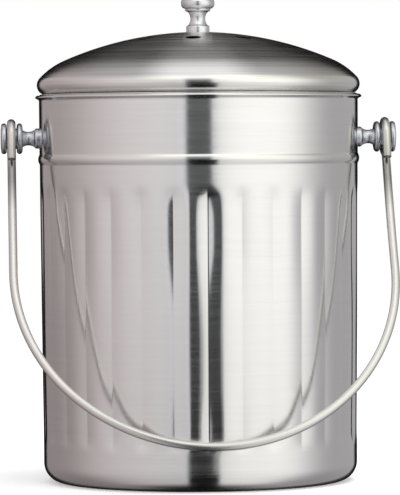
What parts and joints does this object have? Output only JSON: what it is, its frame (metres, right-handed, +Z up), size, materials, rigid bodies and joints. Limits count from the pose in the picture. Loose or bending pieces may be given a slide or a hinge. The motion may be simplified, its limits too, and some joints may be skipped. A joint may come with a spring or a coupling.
{
  "type": "compost caddy",
  "caption": "Reeded steel compost pail with a lift-off domed lid that holds a charcoal odour filter, and a wire bail handle that swings on two turned studs.",
  "frame": {"origin": "middle of the flat foot ring that the pail stands on, on the pail's axis", "axes": "+Z up along the pail's axis, front (the side that the bail rests against) faces -Y, and the two studs stand out along -X (left) and +X (right)"},
  "size_m": [0.2328, 0.1942, 0.2854],
  "materials": {
    "steel_sheet": "satin",
    "stud_metal": "gloss",
    "fastener": "satin",
    "bail_wire": "satin",
    "knob_metal": "satin",
    "filter_plastic": "matte",
    "charcoal_felt": "matte"
  },
  "bodies": {
    "pail": {"pail_body": "steel_sheet", "left_stud": "stud_metal", "right_stud": "stud_metal", "left_stud_screw": "fastener", "right_stud_screw": "fastener", "left_stud_washer": "fastener", "right_stud_washer": "fastener"},
    "bail": {"bail_handle": "bail_wire"},
    "lid": {"lid_dome": "steel_sheet", "lid_locating_ring": "steel_sheet", "lid_knob": "knob_metal", "knob_screw": "fastener", "knob_washer": "fastener", "filter_housing": "filter_plastic"},
    "filter_cover": {"filter_cover": "filter_plastic", "charcoal_filter": "charcoal_felt"}
  },
  "joints": [
    {"name": "bail_swing", "type": "hinge", "parent": "pail", "child": "bail", "pos_m": [0, 0, 0.2016], "axis": [-1, 0, 0], "range_deg": [0, 302]},
    {"name": "lid_lift", "type": "slide", "parent": "pail", "child": "lid", "axis": [0, 0, 1], "range_m": [0, 0.1]},
    {"name": "filter_cover_drop", "type": "slide", "parent": "lid", "child": "filter_cover", "axis": [0, 0, -1], "range_m": [0, 0.03]}
  ]
}
